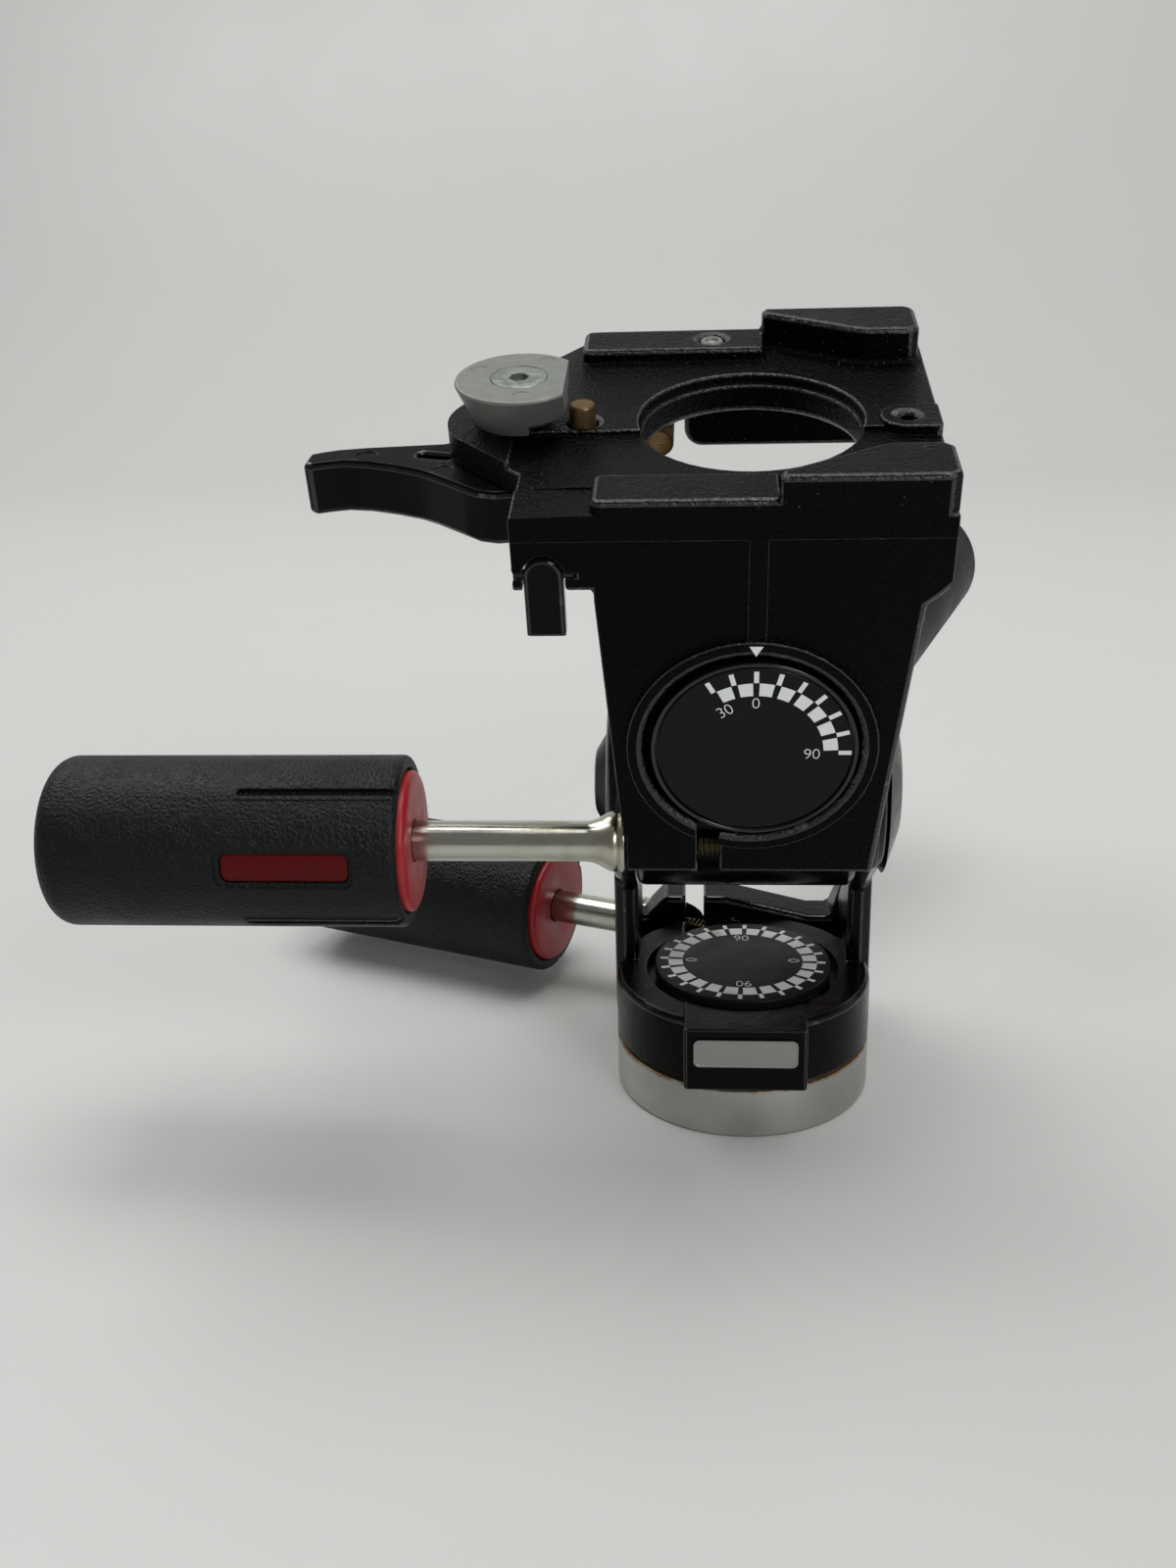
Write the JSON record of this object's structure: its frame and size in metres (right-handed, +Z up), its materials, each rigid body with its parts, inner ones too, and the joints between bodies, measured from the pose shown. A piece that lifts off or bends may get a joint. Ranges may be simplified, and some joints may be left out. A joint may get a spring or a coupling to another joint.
{
  "type": "three way pan tilt head",
  "caption": "Tripod head that pans, tilts forward and tilts sideways, with a lock handle for each axis, angle dials, a railed camera plate seat and a quick release lever.",
  "frame": {"origin": "centre of the base ring, on its underside, at the mouth of the tripod socket", "axes": "+Z up along the pan axis; -Y is the front, where both dials are read; +X is to the right seen from the front"},
  "size_m": [0.2172, 0.2139, 0.178],
  "materials": {
    "black_enamel": "aluminium die casting under semi-gloss black enamel, worn bright at the edges",
    "wrinkle_enamel": "aluminium die casting under fine wrinkled black enamel",
    "aluminium": "satin turned aluminium",
    "silver": "brushed silver plate",
    "steel": "zinc plated, scratched",
    "stained_steel": "steel with a brown stain",
    "zinc": "dull grey cast zinc",
    "brass": "dull brass",
    "rubber": "black grained rubber",
    "red_plastic": "red moulded plastic",
    "dial_black": "matt black with printed white ticks and numbers"
  },
  "bodies": {
    "base": {"base_ring": "aluminium", "pan_washer": "stained_steel", "pan_spindle": "steel", "pan_dial": "dial_black"},
    "pan_fork": {"pan_housing": "black_enamel", "name_plate": "silver", "tilt_axle": "steel", "axle_cap_left": "black_enamel", "axle_cap_right": "black_enamel"},
    "pan_handle": {"pan_lock_rod": "steel", "pan_lock_cap": "red_plastic", "pan_lock_grip": "rubber", "pan_lock_window": "red_plastic"},
    "tilt_block": {"tilt_body": "black_enamel", "brake_shoe": "brass", "side_spindle": "aluminium", "side_dial_cap": "dial_black", "side_dial_label": "dial_black"},
    "tilt_handle": {"tilt_lock_rod": "steel", "tilt_lock_cap": "red_plastic", "tilt_lock_grip": "rubber", "tilt_lock_window": "red_plastic"},
    "platform_block": {"platform": "wrinkle_enamel", "rail_screw": "steel", "catch_pin": "steel", "lever_spring": "brass"},
    "side_handle": {"side_lock_rod": "steel", "side_lock_cap": "red_plastic", "side_lock_grip": "rubber", "side_lock_window": "red_plastic"},
    "catch": {"safety_catch": "black_enamel"},
    "pin": {"release_pin": "brass"},
    "lever": {"release_lever": "black_enamel", "locking_dog": "zinc", "dog_screw": "zinc"}
  },
  "joints": [
    {"name": "pan", "type": "hinge", "parent": "base", "child": "pan_fork", "pos_m": [0, 0, 0.02], "axis": [0, 0, 1], "continuous": true},
    {"name": "tilt", "type": "hinge", "parent": "pan_fork", "child": "tilt_block", "pos_m": [0, 0, 0.0755], "axis": [1, 0, 0], "range_deg": [-46.54, 73.46]},
    {"name": "side_tilt", "type": "hinge", "parent": "tilt_block", "child": "platform_block", "pos_m": [0, -0.01068, 0.11145], "axis": [0, 0.9586, 0.2847], "range_deg": [-30, 90]},
    {"name": "pan_lock", "type": "hinge", "parent": "pan_fork", "child": "pan_handle", "pos_m": [-0.0115, 0.034, 0.0218], "axis": [-0.9285, 0.3714, 0], "range_deg": [0, 180]},
    {"name": "tilt_lock", "type": "hinge", "parent": "tilt_block", "child": "tilt_handle", "pos_m": [0.0119, 0.03187, 0.08163], "axis": [0.374, 0.9191, 0.1242], "range_deg": [0, 180]},
    {"name": "side_lock", "type": "hinge", "parent": "platform_block", "child": "side_handle", "pos_m": [-0.025, -0.03759, 0.0756], "axis": [-1, 0, 0], "range_deg": [0, 180]},
    {"name": "release_lever", "type": "hinge", "parent": "platform_block", "child": "lever", "pos_m": [-0.0453, -0.02038, 0.1529], "axis": [0, -0.2847, 0.9586], "range_deg": [-50, 0]},
    {"name": "release_pin", "type": "slide", "parent": "platform_block", "child": "pin", "axis": [0, 0.2847, -0.9586], "range_m": [0, 0.004], "stiffness_N_per_m": 60},
    {"name": "safety_catch", "type": "hinge", "parent": "platform_block", "child": "catch", "pos_m": [-0.0383, -0.05937, 0.13668], "axis": [-1, 0, 0], "range_deg": [0, 30], "stiffness_Nm_per_rad": 0.01}
  ]
}
